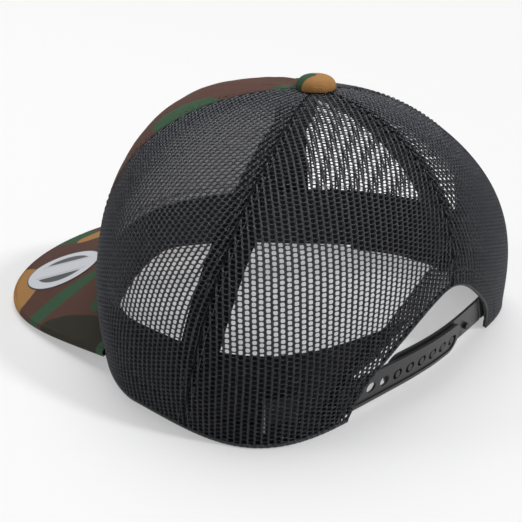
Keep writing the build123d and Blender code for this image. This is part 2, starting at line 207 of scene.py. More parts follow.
def make_mesh(name, points, faces, material=None, uv=None, smooth=True):
    if not np.isfinite(points).all():
        raise ValueError(f"{name} has undefined points")
    mesh = bpy.data.meshes.new(name)
    mesh.from_pydata((np.asarray(points, float) * MM).tolist(), [], [tuple(int(i) for i in f) for f in faces])
    if uv is not None:
        layer = mesh.uv_layers.new(name="cloth")
        index = np.zeros(len(mesh.loops), np.int32)
        mesh.loops.foreach_get("vertex_index", index)
        layer.data.foreach_set("uv", (np.asarray(uv, float)[index] * MM).ravel())
    mesh.validate()
    mesh.update()
    if smooth:
        mesh.polygons.foreach_set("use_smooth", np.ones(len(mesh.polygons), bool))
    piece = put(name, mesh)
    if material:
        mesh.materials.append(material)
    return piece


def grid_faces(rows, columns, start=0, closed=False, flip=False):
    faces = []
    for r in range(rows - 1):
        for c in range(columns if closed else columns - 1):
            d = (c + 1) % columns
            a, b = start + r * columns + c, start + r * columns + d
            e, f = start + (r + 1) * columns + d, start + (r + 1) * columns + c
            faces.append((a, f, e, b) if flip else (a, b, e, f))
    return faces


def shell(name, angle, z, inset_out, inset_in, material, edge=1.2, puff=None):
    """A closed skin over a grid of crown angles and heights, rounded off along its borders."""
    rows, columns = angle.shape
    outer = crown(angle, z, inset_out)
    steps_across, steps_along = (np.linalg.norm(np.diff(outer, axis=k), axis=2) for k in (1, 0))
    across = np.concatenate([np.zeros((rows, 1)), np.cumsum(steps_across, 1)], 1)
    along = np.concatenate([np.zeros((1, columns)), np.cumsum(steps_along, 0)], 0)
    border = np.minimum.reduce([across, across[:, -1:] - across, along, along[-1:] - along])
    thickness = inset_in - inset_out
    close = thickness / 2 * (1 - np.sqrt(1 - (1 - np.clip(border / edge, 0, 1)) ** 2))
    lift = 0 if puff is None else puff
    outer = crown(angle, z, inset_out + close - lift)
    inner = crown(angle, z, inset_in - close)
    centred = across - across[:, -1:] / 2
    uv = np.stack([centred, along], -1).reshape(-1, 2)
    points = np.concatenate([outer.reshape(-1, 3), inner.reshape(-1, 3)])
    n = rows * columns
    faces = grid_faces(rows, columns) + grid_faces(rows, columns, n, flip=True)
    for r in range(rows - 1):
        for c, flip in ((0, True), (columns - 1, False)):
            a, b = r * columns + c, (r + 1) * columns + c
            faces.append((a, b, b + n, a + n) if flip else (b, a, a + n, b + n))
    for c in range(columns - 1):
        for r, flip in ((0, False), (rows - 1, True)):
            a, b = r * columns + c, r * columns + c + 1
            faces.append((a, b, b + n, a + n)[:: -1 if flip else 1][::-1])
    piece = make_mesh(name, points, faces, material, np.concatenate([uv, uv]))
    return piece


def tube(name, path, normals, widths, material, sides=8):
    """A tube of oval section along a path: widths are (half width along the surface, half height)."""
    path, normals = np.asarray(path, float), np.asarray(normals, float)
    along = np.gradient(path, axis=0)
    along /= np.linalg.norm(along, axis=1)[:, None]
    across = np.cross(along, normals)
    across /= np.linalg.norm(across, axis=1)[:, None]
    up = np.cross(across, along)
    turn = np.linspace(0, 2 * np.pi, sides, endpoint=False)
    widths = np.broadcast_to(np.asarray(widths, float), (len(path), 2))
    rings = (
        path[:, None]
        + across[:, None] * (np.cos(turn)[None, :, None] * widths[:, :1, None])
        + up[:, None] * (np.sin(turn)[None, :, None] * widths[:, 1:, None])
    )
    points = rings.reshape(-1, 3)
    faces = grid_faces(len(path), sides, closed=True)
    faces += [tuple(range(sides))[::-1], tuple(len(points) - sides + i for i in range(sides))]
    length = np.concatenate([[0], np.cumsum(np.linalg.norm(np.diff(path, axis=0), axis=1))])
    uv = np.stack(np.broadcast_arrays(turn[None, :] * widths[:, :1], length[:, None]), -1).reshape(-1, 2)
    return make_mesh(name, points, faces, material, uv)


def surface_normal(angle, z, inset=0.0):
    a = crown(angle + 0.3, z, inset) - crown(angle - 0.3, z, inset)
    b = crown(angle, np.asarray(z) + 0.3, inset) - crown(angle, np.asarray(z) - 0.3, inset)
    n = np.cross(a, b)
    return n / np.linalg.norm(n, axis=-1)[..., None]


def resample(points, step):
    points = np.asarray(points, float)
    length = np.concatenate([[0], np.cumsum(np.linalg.norm(np.diff(points, axis=0), axis=1))])
    count = max(2, int(round(length[-1] / step)) + 1)
    t = np.linspace(0, length[-1], count)
    return np.stack([np.interp(t, length, points[:, k]) for k in range(3)], -1)


def stitch_row(name, path, normals_at, material, pitch=3.0, fill=0.72, radius=0.26, lift=0.12):
    """A row of short threads along a path, each with its ends sunk into the cloth."""
    spots = resample(path, pitch)
    points, faces = [], []
    sides, rings = 6, 7
    turn = np.linspace(0, 2 * np.pi, sides, endpoint=False)
    for a, b in zip(spots[:-1], spots[1:]):
        step = b - a
        length = np.linalg.norm(step)
        if length < 0.4 * pitch:
            continue
        step = step / length
        normal = normals_at((a + b) / 2)
        across = np.cross(step, normal)
        across /= np.linalg.norm(across)
        up = np.cross(across, step)
        start = len(points)
        wobble = rng.normal(0, 0.03, 2)
        for r in range(rings):
            share = r / (rings - 1)
            bow = math.sin(math.pi * share) ** 0.5 if 0 < share < 1 else 0
            size = radius * (0.45 + 0.55 * bow)
            centre = a + step * length * ((1 - fill) / 2 + fill * share)
            centre = centre + up * (lift + radius * 1.1) * (bow - 0.55)
            centre = centre + across * wobble[0]
            for t in turn:
                points.append(centre + across * math.cos(t) * size + up * math.sin(t) * size)
        faces += grid_faces(rings, sides, start, closed=True)
        last = start + (rings - 1) * sides
        faces += [tuple(start + i for i in range(sides))[::-1], tuple(last + i for i in range(sides))]
    return make_mesh(name, points, faces, material)


def crown_normal_at(point):
    return surface_normal(angle_of(point), point[2])


def mirrored(piece, name):
    """A copy of a piece on the wearer's right."""
    mesh = piece.data.copy()
    mesh.name = name
    mesh.transform(Matrix.Scale(-1, 4, (1, 0, 0)))
    mesh.flip_normals()
    copy = put(name, mesh)
    return copy


# ---------------------------------------------------------------- materials
def new_material(name, color, roughness, **sockets):
    material = bpy.data.materials.new(name)
    material.use_nodes = True
    shader = material.node_tree.nodes["Principled BSDF"]
    shader.inputs["Base Color"].default_value = (*color, 1)
    shader.inputs["Roughness"].default_value = roughness
    for key, value in sockets.items():
        shader.inputs[key.replace("_", " ")].default_value = value
    return material


def node(material, kind, **values):
    made = material.node_tree.nodes.new(kind)
    for key, value in values.items():
        if key in made.inputs.keys() or key.replace("_", " ") in made.inputs.keys():
            made.inputs[key.replace("_", " ")].default_value = value
        else:
            setattr(made, key, value)
    return made


def link(material, a, b):
    material.node_tree.links.new(a, b)


def paint(material, color):
    link(material, color, shader_of(material).inputs["Base Color"])


def shader_of(material):
    return material.node_tree.nodes["Principled BSDF"]


def object_coordinates(material):
    return node(material, "ShaderNodeTexCoord").outputs["Object"]


def cloth_coordinates(material):
    return node(material, "ShaderNodeUVMap", uv_map="cloth").outputs["UV"]


def math_node(material, operation, a, b=None, c=None):
    made = node(material, "ShaderNodeMath", operation=operation)
    for socket, value in zip(made.inputs, (a, b, c)):
        if value is None:
            continue
        if isinstance(value, (int, float)):
            socket.default_value = value
        else:
            link(material, value, socket)
    return made.outputs[0]


def times(material, a, b):
    return math_node(material, "MULTIPLY", a, b)


def mix_color(material, factor, a, b):
    made = node(material, "ShaderNodeMix", data_type="RGBA")
    for socket, value in zip((made.inputs[0], made.inputs[6], made.inputs[7]), (factor, a, b)):
        if isinstance(value, tuple):
            socket.default_value = (*value, 1)
        elif isinstance(value, (int, float)):
            socket.default_value = value
        else:
            link(material, value, socket)
    return made.outputs[2]


def weave_height(material, coordinates, pitch, slant=0.0):
    """Height of a plain or twill weave with threads a pitch apart, in millimetres."""
    split = node(material, "ShaderNodeSeparateXYZ")
    link(material, coordinates, split.inputs[0])
    wave = 2 * math.pi / (pitch * MM)
    u = times(material, split.outputs[0], wave)
    v = times(material, split.outputs[1], wave)
    if slant:
        ribs = math_node(material, "SINE", math_node(material, "ADD", u, times(material, v, slant)))
        weft = math_node(material, "SINE", times(material, v, 1.0))
        return math_node(material, "ADD", times(material, ribs, 0.6), times(material, weft, 0.4))
    return times(material, math_node(material, "SINE", u), math_node(material, "SINE", v))


def add_bump(material, height, distance, strength=1.0):
    bump = node(material, "ShaderNodeBump", Strength=strength, Distance=distance)
    link(material, height, bump.inputs["Height"])
    last = shader_of(material).inputs["Normal"]
    if last.is_linked:
        link(material, last.links[0].from_socket, bump.inputs["Normal"])
    link(material, bump.outputs[0], last)


def noise(material, coordinates, scale, detail=2.0, roughness=0.5, distortion=0.0, seed=0.0):
    made = node(
        material,
        "ShaderNodeTexNoise",
        noise_dimensions="4D",
        Scale=scale,
        Detail=detail,
        Roughness=roughness,
        Distortion=distortion,
        W=seed,
    )
    link(material, coordinates, made.inputs["Vector"])
    return made.outputs["Fac"]


def step(material, value, edge, width):
    """0 below the edge, 1 above it, over a width."""
    made = node(material, "ShaderNodeMapRange")
    link(material, value, made.inputs[0])
    made.inputs[1].default_value = edge - width / 2
    made.inputs[2].default_value = edge + width / 2
    return made.outputs[0]


TAN, BROWN = (0.40, 0.20, 0.062), (0.088, 0.038, 0.028)
GREEN, OLIVE = (0.028, 0.085, 0.042), (0.022, 0.021, 0.014)


def blot(material, coordinates, centre, size, ragged, seed, turn=0.0):
    """A ragged oval patch: 1 inside, 0 outside. Centre and size are in metres."""
    mapping = node(material, "ShaderNodeMapping", vector_type="TEXTURE")
    mapping.inputs["Location"].default_value = centre
    mapping.inputs["Rotation"].default_value = (0, 0, math.radians(turn))
    mapping.inputs["Scale"].default_value = size
    link(material, coordinates, mapping.inputs[0])
    length = node(material, "ShaderNodeVectorMath", operation="LENGTH")
    link(material, mapping.outputs[0], length.inputs[0])
    rough = noise(material, coordinates, 42, 3, 0.55, 0.3, seed)
    edge = times(material, math_node(material, "SUBTRACT", rough, 0.5), ragged)
    distance = math_node(material, "ADD", length.outputs["Value"], edge)
    return math_node(material, "SUBTRACT", 1.0, step(material, distance, 1.0, 0.035))


def camouflage(name, blots=()):
    """Four-colour woodland cloth, with a few listed patches placed where the cap shows them."""
    material = new_material(name, BROWN, 0.85, Specular_IOR_Level=0.2)
    place = object_coordinates(material)
    color = TAN
    for size, grain, bend, seed, share, over in (
        (15, 0.5, 0.9, 2.0, 0.46, BROWN),
        (17, 0.52, 0.8, 11.3, 0.545, GREEN),
        (24, 0.55, 1.1, 23.7, 0.60, OLIVE),
    ):
        patches = noise(material, place, size, 3, grain, bend, seed)
        color = mix_color(material, step(material, patches, share, 0.008), color, over)
    for centre, size, ragged, seed, turn, tone in blots:
        color = mix_color(material, blot(material, place, centre, size, ragged, seed, turn), color, tone)
    speckle = noise(material, place, 2600, 2, 0.6)
    worn = mix_color(material, times(material, speckle, 0.10), color, (0.30, 0.26, 0.2))
    paint(material, worn)
    add_bump(material, weave_height(material, cloth_coordinates(material), 0.55, slant=1.0), 0.00012, 0.8)
    add_bump(material, noise(material, place, 38, 3, 0.5), 0.0012, 0.35)
    return material


def woven(name, color, roughness, pitch, bump, slant=0.0, sheen=0.3, variation=0.25):
    material = new_material(name, color, roughness, Sheen_Weight=sheen, Sheen_Roughness=0.45)
    place = object_coordinates(material)
    pale = tuple(min(1.0, c * (1 + variation) + 0.01) for c in color)
    dark = tuple(c * (1 - variation) for c in color)
    color = mix_color(material, noise(material, place, 900, 3, 0.6), dark, pale)
    paint(material, color)
    add_bump(material, weave_height(material, cloth_coordinates(material), pitch, slant), bump, 0.9)
    return material


net_material = new_material("net_yarn", (0.006, 0.006, 0.007), 0.31, Specular_IOR_Level=0.9)
place = object_coordinates(net_material)
YARN_DARK, YARN_PALE = (0.003, 0.003, 0.004), (0.010, 0.010, 0.0135)
paint(net_material, mix_color(net_material, noise(net_material, place, 1500, 2, 0.6), YARN_DARK, YARN_PALE))
shader_of(net_material).inputs["Specular Tint"].default_value = (0.86, 0.89, 1.0, 1)
add_bump(net_material, noise(net_material, place, 2200, 3, 0.7), 0.0006, 0.9)

lining_material = woven("lining_cotton", (0.72, 0.71, 0.70), 0.85, 0.7, 0.00008, sheen=0.2, variation=0.06)
tape_material = woven("tape_cotton", (0.005, 0.005, 0.006), 0.85, 0.9, 0.00015, sheen=0.0)
band_material = woven("sweatband_twill", (0.005, 0.005, 0.006), 0.8, 0.8, 0.00016, slant=1.0, sheen=0.02)
thread_material = woven("thread_black", (0.02, 0.02, 0.022), 0.5, 0.5, 0.00004, sheen=0.1)
label_material = woven("label_satin", (0.012, 0.012, 0.013), 0.5, 0.35, 0.00003, sheen=0.1, variation=0.03)
label_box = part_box("size_label")
label_split = node(label_material, "ShaderNodeSeparateXYZ")
link(label_material, object_coordinates(label_material), label_split.inputs[0])
label_edge = step(label_material, label_split.outputs[0], label_box[1][0] - 0.0008, 0.0002)
old = shader_of(label_material).inputs["Base Color"].links[0].from_socket
label_color = mix_color(label_material, label_edge, old, (0.6, 0.6, 0.6))
paint(label_material, label_color)
camo_crown = camouflage(
    "camouflage_crown",
    (
        ((0.022, -0.036, 0.088), (0.030, 0.040, 0.05), 1.1, 1.1, 0, BROWN),
        ((0.0325, -0.032, 0.096), (0.0085, 0.0165, 0.03), 0.7, 4.4, 20, GREEN),
        ((0.0090, 0.000, 0.106), (0.006, 0.0045, 0.02), 0.5, 6.1, 0, GREEN),
    ),
)
camo_visor = camouflage(
    "camouflage_visor",
    (
        ((0.060, -0.083, 0.005), (0.046, 0.066, 0.1), 0.15, 2.2, 0, BROWN),
        ((0.075, -0.109, 0.005), (0.0225, 0.0125, 0.1), 0.6, 3.1, 36, TAN),
        ((0.010, -0.121, 0.005), (0.017, 0.0065, 0.1), 1.3, 5.2, 0, TAN),
        ((0.0685, -0.0745, 0.005), (0.024, 0.0047, 0.1), 0.9, 7.7, -8, GREEN),
        ((0.0885, -0.047, 0.005), (0.013, 0.025, 0.1), 0.6, 9.4, 0, OLIVE),
        ((0.0690, -0.050, 0.005), (0.0055, 0.0035, 0.1), 0.7, 8.3, 30, GREEN),
        ((0.0860, -0.027, 0.005), (0.0045, 0.0040, 0.1), 0.5, 2.9, 0, GREEN),
    ),
)
camo_button = camouflage(
    "camouflage_button",
    (
        ((0.0, 0.010, 0.108), (0.03, 0.03, 0.03), 0.0, 1.0, 0, TAN),
        ((0.0072, 0.0025, 0.107), (0.0052, 0.011, 0.02), 0.25, 4.0, 42, GREEN),
    ),
)
camo_thread = new_material("thread_olive", (0.045, 0.045, 0.03), 0.6)

strap_material = new_material("strap_plastic", (0.020, 0.020, 0.0215), 0.40, Specular_IOR_Level=0.5)
place = object_coordinates(strap_material)
add_bump(strap_material, noise(strap_material, place, 1400, 3, 0.6), 0.00006, 0.6)
add_bump(strap_material, noise(strap_material, place, 60, 2, 0.5), 0.0004, 0.25)
steel_material = new_material("pressed_steel", (0.55, 0.55, 0.56), 0.35, Metallic=1.0)
add_bump(steel_material, noise(steel_material, object_coordinates(steel_material), 900, 3, 0.6), 0.00004, 0.5)


# ---------------------------------------------------------------- the net
COLUMN, ROW = 2.45, 1.75  # holes across and along the cloth
HOLE = (0.77, 0.69)  # a hole's half width and half height
TIP = (COLUMN**2 + ROW**2 / 4) / (2 * COLUMN)
CORNER = (COLUMN**2 - ROW**2 / 4) / (2 * COLUMN)


cut_area = {}  # the flat area of each piece of net, holes and all


def cell_rings():
    """A cell's outline and hole, 12 matching points each, and how far each outline point is a thin bar."""
    half = ROW / 2
    quarter = [(TIP, 0, 0.0), ((TIP + CORNER) / 2, half / 2, 0.0), (CORNER, half, 0.25), (0, half, 1.0)]
    ring = quarter + [(-x, y, w) for x, y, w in reversed(quarter[:3])]
    ring += [(x, -y, w) for x, y, w in reversed(ring[1:6])]
    outline = np.array([(x, y) for x, y, w in ring])
    bar = np.array([w for x, y, w in ring])
    c, s = outline[:, 0] / TIP, outline[:, 1] / half
    size = (np.abs(c) ** 3.4 + np.abs(s) ** 3.4) ** (1 / 3.4)
    hole = np.stack([HOLE[0] * c / size, HOLE[1] * s / size], -1)
    return outline, hole, bar


class Cloth:
    """Flat cloth coordinates of a gore: s across from its centre line, t up along it."""

    def __init__(self, seam_a, seam_b):
        share = 1 - (1 - np.linspace(0, 1, 150)) ** 1.6
        self.z = share * CROWN_HEIGHT * 0.999
        self.centre = (seam_angle(seam_a, self.z) + seam_angle(seam_b, self.z)) / 2
        line = crown(self.centre, self.z)
        self.t = np.concatenate([[0], np.cumsum(np.linalg.norm(np.diff(line, axis=0), axis=1))])
        self.turn = np.linspace(-95, 95, 381)
        level = crown(self.centre[:, None] + self.turn[None], self.z[:, None])
        length = np.concatenate(
            [np.zeros((len(self.z), 1)), np.cumsum(np.linalg.norm(np.diff(level, axis=1), axis=2), 1)], 1
        )
        self.s = length - length[:, 190:191]

    def place(self, s, t):
        """Crown angle and height of cloth points."""
        level = np.interp(t, self.t, np.arange(len(self.t)))
        low = np.clip(level.astype(int), 0, len(self.t) - 2)
        part = level - low
        found = np.zeros((2, len(s)))
        for k in np.unique(low):
            mask = low == k
            for j in (0, 1):
                found[j, mask] = np.interp(s[mask], self.s[k + j], self.turn)
        turn = found[0] * (1 - part) + found[1] * part
        return np.interp(level, np.arange(len(self.t)), self.centre) + turn, np.interp(t, self.t, self.z)


def plane_limit(seam, sign, shift=0.0):
    normal = seam_normal(seam) * sign
    apex = np.array([0, APEX_Y, CROWN_HEIGHT])

    def limit(p):
        return (p - apex) @ normal + shift, normal[None]

    return limit


def arch_limit(margin=0.0, sign=1):
    """Positive inside the opening widened by the margin, or outside it with sign -1."""
    line = arch_line(margin)
    top = line[:, 1].max()
    half = line[: len(line) // 2 + 1]

    def limit(p):
        flat = p[:, [0, 2]]
        nearest = np.empty(len(p), int)
        for start in range(0, len(p), 4000):
            part = flat[start : start + 4000]
            nearest[start : start + 4000] = ((part[:, None] - line[None]) ** 2).sum(2).argmin(1)
        away = flat - line[nearest]
        distance = np.linalg.norm(away, axis=1)
        width = np.interp(flat[:, 1], half[:, 1], half[:, 0])
        inside = (np.abs(flat[:, 0]) < width) & (flat[:, 1] < top) & (p[:, 1] > 0)
        signed = np.where(inside, distance, -distance) * sign
        signed[p[:, 1] < 20] = -50 * sign
        direction = away / np.maximum(distance, 1e-9)[:, None]
        return signed, np.stack([direction[:, 0], np.zeros(len(p)), direction[:, 1]], -1)

    return limit


def floor_limit(height=0.0):
    def limit(p):
        return height - p[:, 2], np.array([[0, 0, -1.0]])

    return limit


def visor_limit(gap=0.2):
    def limit(p):
        below = visor_top(p[:, 0], p[:, 1]) + gap - p[:, 2]
        ahead = TEMPLE_Y - p[:, 1]
        use_up = below <= ahead
        direction = np.where(use_up[:, None], np.array([[0, 0, -1.0]]), np.array([[0, -1.0, 0]]))
        return np.minimum(below, ahead), direction

    return limit


def net(name, cloth, limits, skin=(0.05, 1.0), phase=(0.0, 0.0), open_share=1.0, seed=1):
    """Knitted net over a gore, cut and drawn in along its borders; open_share narrows its holes."""
    outline, hole, bar = cell_rings()
    hole = hole * open_share
    width = int(90 / COLUMN)
    i, j = np.meshgrid(np.arange(-width, width + 1), np.arange(-2, int(cloth.t[-1] / ROW) + 2), indexing="ij")
    cs = (i * COLUMN).ravel() + phase[0]
    ct = (j * ROW + (i % 2) * ROW / 2).ravel() + phase[1]
    angle, z = cloth.place(cs, np.clip(ct, 0, cloth.t[-1] - 0.01))
    middle = crown(angle, z)
    keep = np.ones(len(cs), bool)
    for limit in limits:
        keep &= limit(middle)[0] < 0.9
    keep &= np.hypot(middle[:, 0], middle[:, 1] - APEX_Y) > PRONG_HOLE
    keep &= (ct > -ROW) & (ct < cloth.t[-1])
    cs, ct = cs[keep], ct[keep]
    n = len(cs)
    outer_s, outer_t = cs[:, None] + outline[None, :, 0], ct[:, None] + outline[None, :, 1]
    hole_s, hole_t = cs[:, None] + hole[None, :, 0], ct[:, None] + hole[None, :, 1]
    depth = skin[1] - skin[0]
    top = np.broadcast_to(skin[0] + depth * 0.26 * bar, outer_s.shape)
    bottom = np.broadcast_to(skin[1] - depth * 0.26 * bar, outer_s.shape)
    middle_inset = np.full(hole_s.shape, (skin[0] + skin[1]) / 2)
    s = np.concatenate([outer_s, outer_s, hole_s], 1).ravel()
    t = np.concatenate([outer_t, outer_t, hole_t], 1).ravel()
    inset = np.concatenate([top, bottom, middle_inset], 1).ravel()
    key = np.stack([np.round(s * 200), np.round(t * 200), np.round(inset * 1000)], -1).astype(np.int64)
    _, first, index = np.unique(key, axis=0, return_index=True, return_inverse=True)
    index = index.reshape(n, 36)
    s, t, inset = s[first], t[first], inset[first]
    wander = np.sin(t / 17 + seed) * 0.35 + np.sin(t / 6.1 + s / 29 + 2 * seed) * 0.12
    rise = np.sin(s / 13 + seed * 1.7) * 0.25 + np.sin(s / 31 + t / 41) * 0.3
    local = np.random.default_rng(seed).normal(0, 0.035, (2, len(s)))
    angle, z = cloth.place(s + wander + local[0], np.clip(t + rise + local[1], 0.01, cloth.t[-1] - 0.01))
    base = crown(angle, z)
    for _ in range(3):
        for limit in limits:
            distance, direction = limit(base)
            move = np.maximum(distance, 0)
            base = base - direction * move[:, None]
        base = crown(angle_of(base), base[:, 2])
    lowered = base[:, 2] * (1 - inset / CROWN_HEIGHT * (base[:, 2] / CROWN_HEIGHT))
    points = crown(angle_of(base), lowered, inset)
    faces = []
    for k in range(12):
        m = (k + 1) % 12
        faces.append(np.stack([index[:, k], index[:, m], index[:, 24 + m], index[:, 24 + k]], -1))
        faces.append(np.stack([index[:, 12 + m], index[:, 12 + k], index[:, 24 + k], index[:, 24 + m]], -1))
    # the cut edge: outline edges that only one cell has, closed between the net's two faces
    turned = (np.arange(12) + 1) % 12
    upper, lower = index[:, :12], index[:, 12:24]
    ahead = np.stack([upper.T, upper[:, turned].T, lower.T, lower[:, turned].T], -1).reshape(-1, 4)
    pairs = np.sort(ahead[:, :2], axis=1)
    _, place, uses = np.unique(pairs, axis=0, return_inverse=True, return_counts=True)
    cut_edge = ahead[(uses[place.ravel()] == 1) & (pairs[:, 0] != pairs[:, 1])]
    faces.append(cut_edge[:, [1, 0, 2, 3]])
    faces = np.concatenate(faces)
    a, b, c, d = (points[faces[:, k]] for k in range(4))
    area = np.linalg.norm(np.cross(c - a, d - b), axis=1) / 2
    faces = faces[area > 0.004]
    used = np.unique(faces)
    remap = np.full(len(points), -1)
    remap[used] = np.arange(len(used))
    cut_area[name] = n * COLUMN * ROW * MM**2
    return make_mesh(name, points[used], remap[faces], net_material, np.stack([s, t], -1)[used])


side_cloth = Cloth(FRONT_SEAM, SIDE_SEAM)
back_cloth = Cloth(SIDE_SEAM, BACK_SEAM)
side_net_left = net(
    "side_net_left",
    side_cloth,
    [plane_limit(FRONT_SEAM, -1, 0.3), plane_limit(SIDE_SEAM, 1, 0.3), visor_limit(), floor_limit(0.4)],
    seed=1,
)
back_net_left = net(
    "back_net_left",
    back_cloth,
    [plane_limit(SIDE_SEAM, -1, 0.3), plane_limit(BACK_SEAM, 1, 0.3), arch_limit(1.0), floor_limit(0.4)],
    seed=2,
)
arch_hem_left = net(
    "arch_hem_left",
    back_cloth,
    [plane_limit(BACK_SEAM, 1, 0.3), arch_limit(1.0), arch_limit(15.5, -1), floor_limit(0.4)],
    skin=(1.15, 1.9),
    phase=(COLUMN / 2, ROW / 4),
    open_share=0.72,
    seed=5,
)
arch_hem_right = mirrored(arch_hem_left, "arch_hem_right")
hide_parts("arch_binding")
side_net_right = mirrored(side_net_left, "side_net_right")
back_net_right = mirrored(back_net_left, "back_net_right")
for piece, cad in (
    (side_net_left, "side_panel_left"),
    (side_net_right, "side_panel_right"),
    (back_net_left, "back_panel_left"),
    (back_net_right, "back_panel_right"),
):
    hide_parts(cad)


# ---------------------------------------------------------------- seam ridges and the rolled edge
def seam_path(seam, low, high, shift=0.0, inset=0.0, count=120):
    z = np.linspace(low, high, count)
    if high > 60:  # closer together towards the button
        z = low + (high - low) * np.sin(np.linspace(0, np.pi / 2, count))
    angle = seam_angle(seam, z, shift)
    return crown(angle, z * (1 - inset / CROWN_HEIGHT), inset), surface_normal(angle, z)


def rim_floor(seam):
    """The lowest point of a seam, above the visor or the opening."""
    if seam is FRONT_SEAM:
        p = crown(seam_angle(seam, np.array([15.0])), np.array([15.0]))[0]
        return float(visor_top(p[0], p[1])) + 0.4
    return 0.6 if seam is SIDE_SEAM else ARCH_EDGE[-1][1] + 1.0


SEAM_TOP = CROWN_HEIGHT * 0.9965
ridges = {}
for label, seam in (("front", FRONT_SEAM), ("side", SIDE_SEAM), ("back", BACK_SEAM)):
    path, normals = seam_path(seam, rim_floor(seam), SEAM_TOP, inset=1.0)
    sway = np.sin(np.arange(len(path)) * 0.9) * 0.05
    widths = np.stack([0.55 + sway, 0.4 + sway], -1)
    side = "" if label == "back" else "_left"
    left = tube(f"seam_ridge_{label}{side}", path, normals, widths, net_material, 10)
    ridges[label] = left
    if label != "back":
        mirrored(left, f"seam_ridge_{label}_right")


STRAP_TOP = 17.5


def arch_path(margin, inset, count=160, low=0.3):
    line = arch_line(margin, 801)
    line = line[line[:, 1] > low]
    picked = np.linspace(0, len(line) - 1, count).astype(int)
    line = line[picked]
    left = x_angle(np.abs(line[:, 0]), line[:, 1])
    angle = np.where(line[:, 0] >= 0, left, 360 - left)
    return crown(angle, line[:, 1], inset), surface_normal(angle, line[:, 1])


# the rolled edge of the opening, thinner beside the strap so that the strap's halves swing clear of it
path, normals = arch_path(0.75, 0.0, 300)
full = np.clip((path[:, 2] - STRAP_TOP - 1.0) / 4, 0, 1)
path = path - normals * (0.68 + 0.42 * full)[:, None]
bumps = 0.12 * np.sin(np.arange(len(path)) * 2.4) * (0.5 + 0.5 * full)
widths = np.stack([0.6 + bumps, 0.5 + 0.45 * full + bumps], -1)
arch_roll = tube("arch_roll", path, normals, widths, net_material, 10)


# ---------------------------------------------------------------- cloth shells
def gore_grid(seam_a, seam_b, rows, columns, bottom, top):
    """Angles and heights of a grid between two seams, from a bottom height to a top one."""
    u = np.linspace(0, 1, columns)
    levels = np.linspace(0, CROWN_HEIGHT * 0.9985, 260)
    a, b = seam_angle(seam_a, levels), seam_angle(seam_b, levels)
    z0 = np.full(columns, 12.0)
    for _ in range(25):
        angle = np.interp(z0, levels, a) * (1 - u) + np.interp(z0, levels, b) * u
        z0 = bottom(crown(angle, z0))
    v = np.linspace(0, 1, rows)[:, None]
    z = z0[None] + (top - z0[None]) * np.sin(v * np.pi / 2)
    angle = np.interp(z, levels, a) * (1 - u) + np.interp(z, levels, b) * u
    return angle, z


def on_visor(gap):
    return lambda p: visor_top(p[:, 0], p[:, 1]) + gap


def smooth_noise(shape, cells, seed, amount):
    """A soft random field over a grid."""
    generator = np.random.default_rng(seed)
    knots = generator.normal(0, 1, cells)
    rows = np.linspace(0, cells[0] - 1, shape[0])
    columns = np.linspace(0, cells[1] - 1, shape[1])

    def ease(t):
        k = np.clip(t.astype(int), 0, None)
        f = t - k
        return k, f * f * (3 - 2 * f)

    r, fr = ease(rows)
    c, fc = ease(columns)
    r1, c1 = np.minimum(r + 1, cells[0] - 1), np.minimum(c + 1, cells[1] - 1)
    low = knots[r][:, c] * (1 - fc) + knots[r][:, c1] * fc
    high = knots[r1][:, c] * (1 - fc) + knots[r1][:, c1] * fc
    return (low * (1 - fr[:, None]) + high * fr[:, None]) * amount


RIGHT_FRONT_SEAM = (-FRONT_SEAM[0], -FRONT_SEAM[1])
angle, z = gore_grid(RIGHT_FRONT_SEAM, FRONT_SEAM, 90, 110, on_visor(0.15), CROWN_HEIGHT * 0.997)
puff = np.abs(smooth_noise(angle.shape, (9, 11), 3, 0.25))
front_cloth = shell("front_cloth", angle, z, 0.0, 0.8, camo_crown, puff=puff)
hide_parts("front_panel")
angle, z = gore_grid(RIGHT_FRONT_SEAM, FRONT_SEAM, 60, 80, on_visor(0.15), CROWN_HEIGHT * 0.995)
front_lining = shell("front_lining_cloth", angle, z, 0.95, 1.75, lining_material)
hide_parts("front_lining")


def tape(name, seam, bottom, top, insets=(1.9, 2.5)):
    rows, columns = 110, 15
    z = bottom + (top - bottom) * np.sin(np.linspace(0, np.pi / 2, rows))[:, None] * np.ones((1, columns))
    shift = np.linspace(-7.9, 7.9, columns)[None] * np.ones((rows, 1))
    angle = seam_angle(seam, z, shift)
    if seam is FRONT_SEAM:
        p = crown(angle[:1], z[:1])[0]
        lift = visor_top(p[:, 0], p[:, 1]) + 0.3 - z[0]
        z = z + np.maximum(0, lift)[None] * np.linspace(1, 0, rows)[:, None] ** 8
        angle = seam_angle(seam, z, shift)
    puff = np.abs(smooth_noise(angle.shape, (40, 4), 5, 0.1))
    piece = shell(name, angle, z, insets[0] + puff * 0, insets[1] + puff, tape_material, edge=0.5)
    return piece


for label, seam, bottom in (
    ("front", FRONT_SEAM, rim_floor(FRONT_SEAM)),
    ("side", SIDE_SEAM, 0.5),
    ("back", BACK_SEAM, ARCH_EDGE[-1][1] + 8.5),
):
    if label == "back":
        piece = tape("tape_back", seam, bottom, CROWN_HEIGHT * 0.975)
        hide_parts("seam_tape_back")
        continue
    left = tape(f"tape_{label}_left", seam, bottom, CROWN_HEIGHT * 0.975)
    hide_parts(f"seam_tape_{label}_left")
    right = mirrored(left, f"tape_{label}_right")
    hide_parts(f"seam_tape_{label}_right")


# ---------------------------------------------------------------- sweatband and forehead pad
TAB_TOP = 19.5  # the strap's sewn ends reach this high, and the sweatband stops short of them


def band_top(y):
    share = (y + FRONT_REACH) / (FRONT_REACH + BACK_REACH)
    return BAND_TOP_FRONT + (BAND_TOP_BACK - BAND_TOP_FRONT) * share


